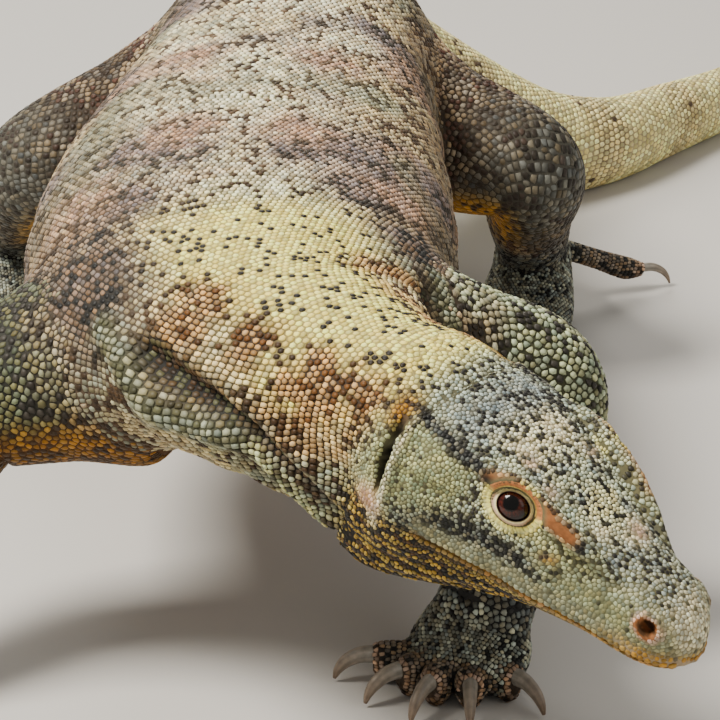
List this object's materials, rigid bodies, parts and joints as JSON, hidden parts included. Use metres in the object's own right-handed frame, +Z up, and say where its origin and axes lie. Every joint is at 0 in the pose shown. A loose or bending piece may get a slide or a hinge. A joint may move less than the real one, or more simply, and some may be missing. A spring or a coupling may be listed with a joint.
{
  "type": "komodo dragon model",
  "caption": "Life-size still model of a walking komodo dragon, head low and turned left, trunk arched, tail trailing on the floor.",
  "frame": {"origin": "on the floor, under the middle of the model's bounding box", "axes": "+X to the animal's left, +Y towards its tail, +Z up; the trunk faces -Y and the head turns towards +X"},
  "size_m": [0.8342, 1.8298, 0.2802],
  "materials": {
    "skin": "beaded scales, mottled cream, yellow, rust and slate on dark skin",
    "eye": "glossy dark brown",
    "claw": "satin grey horn"
  },
  "bodies": {
    "root": {"head": "skin", "lower_jaw": "skin", "neck": "skin", "trunk": "skin", "tail_base": "skin", "tail_middle": "skin", "tail_tip": "skin", "upper_arm_left": "skin", "forearm_left": "skin", "hand_left": "skin", "upper_arm_right": "skin", "forearm_right": "skin", "hand_right": "skin", "thigh_left": "skin", "shin_left": "skin", "foot_left": "skin", "thigh_right": "skin", "shin_right": "skin", "foot_right": "skin", "eye_left": "eye", "eye_right": "eye", "hand_left_claw_1": "claw", "hand_left_claw_2": "claw", "hand_left_claw_3": "claw", "hand_left_claw_4": "claw", "hand_left_claw_5": "claw", "hand_right_claw_1": "claw", "hand_right_claw_2": "claw", "hand_right_claw_3": "claw", "hand_right_claw_4": "claw", "hand_right_claw_5": "claw", "foot_left_claw_1": "claw", "foot_left_claw_2": "claw", "foot_left_claw_3": "claw", "foot_left_claw_4": "claw", "foot_left_claw_5": "claw", "foot_right_claw_1": "claw", "foot_right_claw_2": "claw", "foot_right_claw_3": "claw", "foot_right_claw_4": "claw", "foot_right_claw_5": "claw"}
  },
  "joints": []
}
